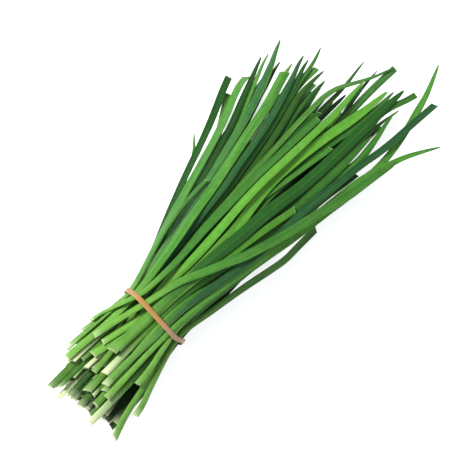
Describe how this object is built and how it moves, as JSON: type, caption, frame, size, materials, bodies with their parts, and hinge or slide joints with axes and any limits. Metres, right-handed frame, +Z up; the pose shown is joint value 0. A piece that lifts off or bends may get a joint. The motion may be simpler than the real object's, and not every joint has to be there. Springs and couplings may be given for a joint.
{
  "type": "bunch of garlic chives",
  "caption": "Bunch of long flat garlic chive leaves, cut at both ends and tied low down with a rubber band, lying on its side and fanning out towards the tips.",
  "frame": {"origin": "on the surface that the bunch lies on, under the middle of the rubber band", "axes": "+X along the bunch from the cut ends to the tips, +Y to the left seen from the cut ends, +Z up"},
  "size_m": [0.3723, 0.152, 0.0371],
  "materials": {
    "leaf_mid": "satin",
    "leaf_light": "satin",
    "leaf_bright": "satin",
    "leaf_blue": "satin",
    "band_rubber": "matte"
  },
  "bodies": {
    "root": {"packed_leaves": "leaf_mid", "rubber_band": "band_rubber", "top_leaf_01": "leaf_mid", "top_leaf_02": "leaf_light", "top_leaf_03": "leaf_blue", "top_leaf_04": "leaf_light", "top_leaf_05": "leaf_mid", "top_leaf_06": "leaf_blue", "top_leaf_07": "leaf_light", "top_leaf_08": "leaf_mid", "top_leaf_09": "leaf_bright", "top_leaf_10": "leaf_mid", "top_leaf_11": "leaf_light", "top_leaf_12": "leaf_blue", "top_leaf_13": "leaf_mid", "top_leaf_14": "leaf_light", "top_leaf_15": "leaf_light", "top_leaf_16": "leaf_bright"}
  },
  "joints": []
}
